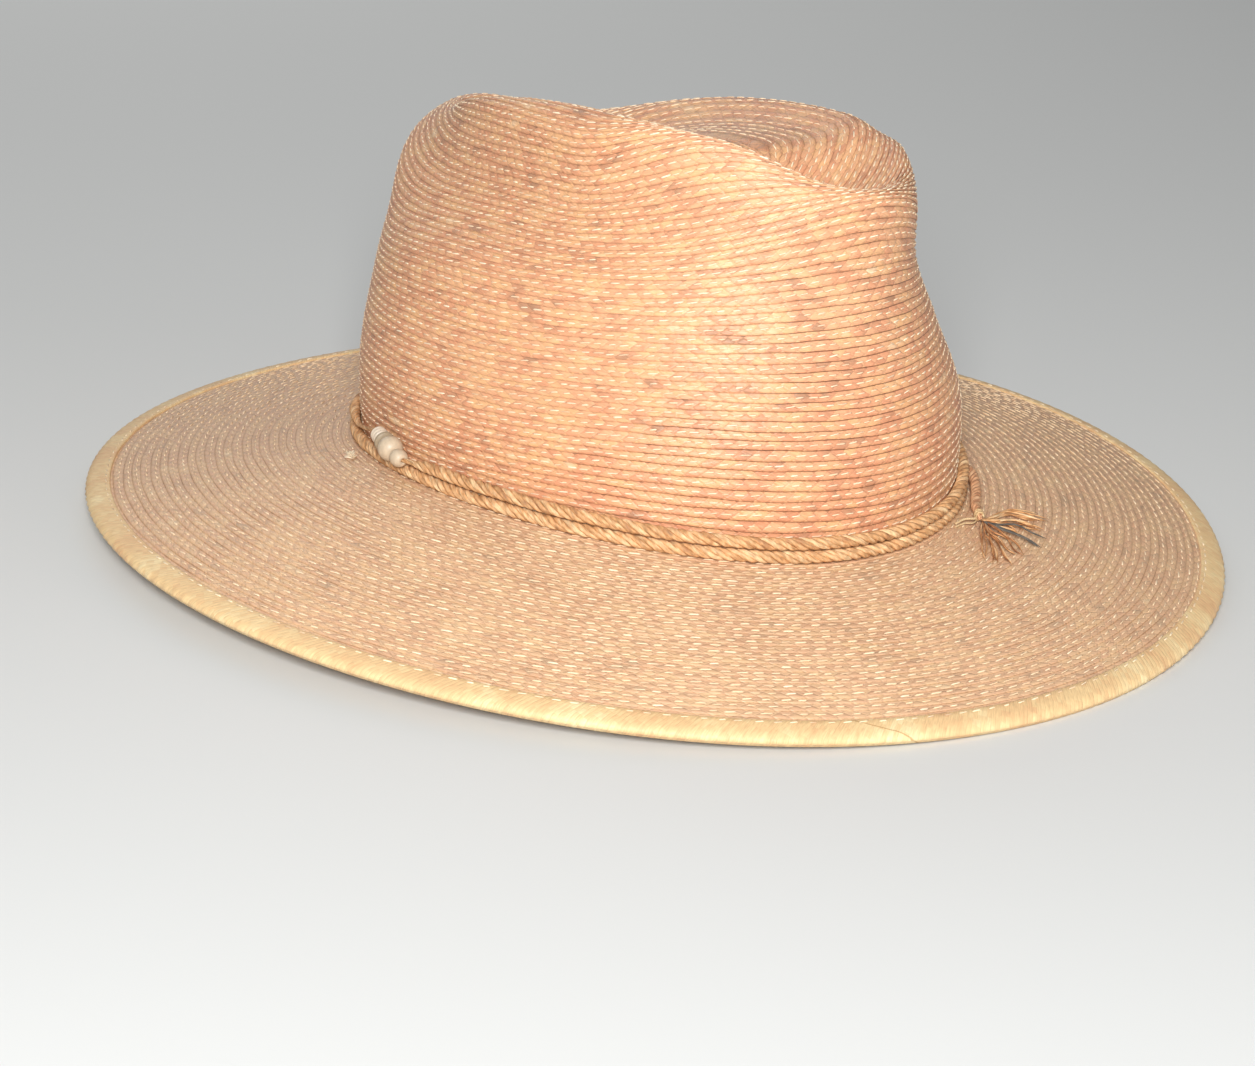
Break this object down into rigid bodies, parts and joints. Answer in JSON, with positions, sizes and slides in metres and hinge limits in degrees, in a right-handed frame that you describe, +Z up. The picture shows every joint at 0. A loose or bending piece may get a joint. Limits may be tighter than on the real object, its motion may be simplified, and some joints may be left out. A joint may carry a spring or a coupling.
{
  "type": "straw hat",
  "caption": "Worn hat of sewn palm-leaf braid: pinched crown with a long top dent, wide oval brim with a pale bound edge, twisted cord band with small beads and a short frayed tassel",
  "frame": {"origin": "middle of the brim's oval, on the flat plane that the brim's edge rests on", "axes": "+Z up out of the crown, -Y to the front of the hat, where the crown is pinched, +X to the wearer's left, where the tassel lies"},
  "size_m": [0.3466, 0.3664, 0.1404],
  "materials": {
    "crown_braid": "tan and orange palm-leaf braid, sewn in rows, slightly glossy where rubbed",
    "brim_braid": "paler tan palm-leaf braid in rows",
    "binding_straw": "pale yellow plaited straw strip",
    "cord": "golden tan twisted straw cord",
    "cord_end": "brown twisted straw cord",
    "thread": "pale thread",
    "tassel_strands": "frayed golden and brown straw strands with a few dark grey ones",
    "bead_cream": "satin cream bead",
    "bead_grey": "satin grey-cream bead",
    "bead_white": "satin whitish bead"
  },
  "bodies": {
    "root": {"crown": "crown_braid", "brim": "brim_braid", "edge_binding": "binding_straw", "band_cord_lower": "cord", "band_cord_upper": "cord", "cord_end": "cord_end", "tie_thread": "thread", "tassel": "tassel_strands", "bead_small": "bead_cream", "bead_large": "bead_cream", "bead_disc": "bead_grey", "bead_ring": "bead_white"}
  },
  "joints": []
}
